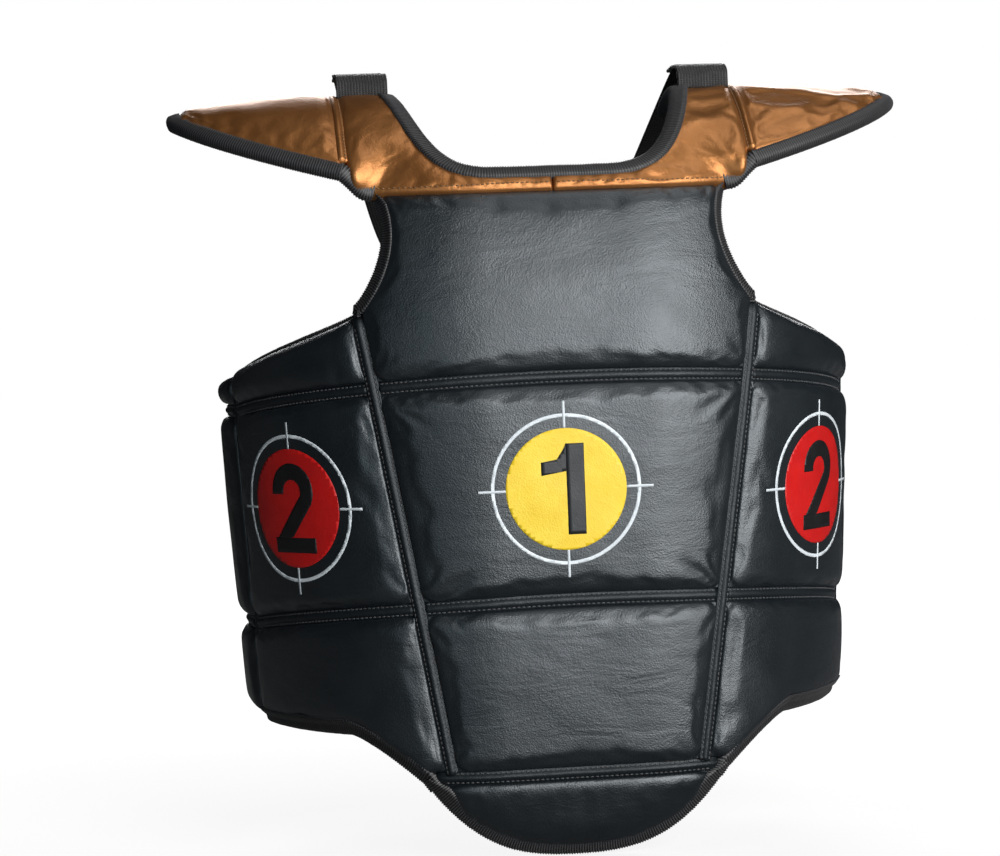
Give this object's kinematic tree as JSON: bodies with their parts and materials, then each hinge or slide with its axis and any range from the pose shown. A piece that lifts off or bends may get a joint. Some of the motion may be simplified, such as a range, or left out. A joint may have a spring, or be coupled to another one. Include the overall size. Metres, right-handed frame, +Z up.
{
  "type": "chest protector",
  "caption": "Padded martial arts trunk protector with quilted front, hinged side and back panels, shoulder wings, apron and crossed back harness.",
  "frame": {"origin": "on the flat inner lining at the front centre, level with the centre of the front target", "axes": "+X to the wearer's left, +Y to the wearer's back, +Z up; the front faces -Y"},
  "size_m": [0.5436, 0.3271, 0.5662],
  "materials": {
    "black_leather": "satin",
    "gold_leather": "satin",
    "foam": "matte",
    "lining": "matte",
    "binding": "matte",
    "webbing": "matte",
    "yellow_print": "satin",
    "red_print": "satin"
  },
  "bodies": {
    "front": {"chest_cover": "black_leather", "target_cover": "black_leather", "belly_cover": "black_leather", "chest_foam": "foam", "target_foam": "foam", "belly_foam": "foam", "front_lining": "lining", "yoke_cover_left": "gold_leather", "yoke_cover_right": "gold_leather", "yoke_foam_left": "foam", "yoke_foam_right": "foam", "neck_binding": "binding", "armhole_binding_left": "binding", "armhole_binding_right": "binding", "front_target_print": "yellow_print"},
    "side_left": {"side_upper_cover_left": "black_leather", "side_upper_foam_left": "foam", "side_middle_cover_left": "black_leather", "side_middle_foam_left": "foam", "side_lower_cover_left": "black_leather", "side_lower_foam_left": "foam", "side_lining_left": "lining", "side_target_print_left": "red_print", "side_top_binding_left": "binding", "side_hem_binding_left": "binding"},
    "back_left": {"back_cover_left": "black_leather", "back_foam_left": "foam", "back_lining_left": "lining", "back_edge_binding_left": "binding"},
    "wing_left": {"wing_cover_left": "gold_leather", "wing_foam_left": "foam", "wing_lining_left": "lining", "wing_binding_left": "binding"},
    "side_right": {"side_upper_cover_right": "black_leather", "side_upper_foam_right": "foam", "side_middle_cover_right": "black_leather", "side_middle_foam_right": "foam", "side_lower_cover_right": "black_leather", "side_lower_foam_right": "foam", "side_lining_right": "lining", "side_target_print_right": "red_print", "side_top_binding_right": "binding", "side_hem_binding_right": "binding"},
    "back_right": {"back_cover_right": "black_leather", "back_foam_right": "foam", "back_lining_right": "lining", "back_edge_binding_right": "binding"},
    "wing_right": {"wing_cover_right": "gold_leather", "wing_foam_right": "foam", "wing_lining_right": "lining", "wing_binding_right": "binding"},
    "apron": {"apron_cover": "black_leather", "apron_foam": "foam", "apron_lining": "lining", "apron_binding": "binding"},
    "harness": {"harness_strap_left": "webbing", "harness_strap_right": "webbing", "harness_cross_patch": "webbing"},
    "waist": {"waist_strap": "webbing"}
  },
  "joints": [
    {"name": "side_left_swing", "type": "hinge", "parent": "front", "child": "side_left", "pos_m": [0.09123, -0.01563, -0.205], "axis": [-0.1606, -0.0789, -0.9839], "range_deg": [0, 35], "stiffness_Nm_per_rad": 3},
    {"name": "side_right_swing", "type": "hinge", "parent": "front", "child": "side_right", "pos_m": [-0.09123, -0.01563, -0.205], "axis": [-0.1606, 0.0789, 0.9839], "range_deg": [0, 35], "stiffness_Nm_per_rad": 3},
    {"name": "back_left_swing", "type": "hinge", "parent": "side_left", "child": "back_left", "pos_m": [0.22969, 0.11963, 0], "axis": [-0.0555, -0.0061, -0.9984], "range_deg": [0, 60], "stiffness_Nm_per_rad": 2},
    {"name": "back_right_swing", "type": "hinge", "parent": "side_right", "child": "back_right", "pos_m": [-0.22969, 0.11963, 0], "axis": [-0.0555, 0.0061, 0.9984], "range_deg": [0, 60], "stiffness_Nm_per_rad": 2},
    {"name": "wing_left_lift", "type": "hinge", "parent": "front", "child": "wing_left", "pos_m": [0.152, 0.114, 0.294], "axis": [0, -1, 0], "range_deg": [0, 20], "stiffness_Nm_per_rad": 0.5},
    {"name": "wing_right_lift", "type": "hinge", "parent": "front", "child": "wing_right", "pos_m": [-0.152, 0.114, 0.294], "axis": [0, 1, 0], "range_deg": [0, 20], "stiffness_Nm_per_rad": 0.5},
    {"name": "apron_swing", "type": "hinge", "parent": "front", "child": "apron", "pos_m": [0, -0.022, -0.205], "axis": [-1, 0, 0], "range_deg": [-5, 60], "stiffness_Nm_per_rad": 1},
    {"name": "harness_swing", "type": "hinge", "parent": "front", "child": "harness", "pos_m": [0, 0.1, 0.3015], "axis": [1, 0, 0], "range_deg": [0, 75], "stiffness_Nm_per_rad": 0.2},
    {"name": "waist_strap_swing", "type": "hinge", "parent": "back_left", "child": "waist", "pos_m": [0.08975, 0.27536, -0.06], "axis": [0, 0, -1], "range_deg": [0, 100], "stiffness_Nm_per_rad": 0.05}
  ]
}
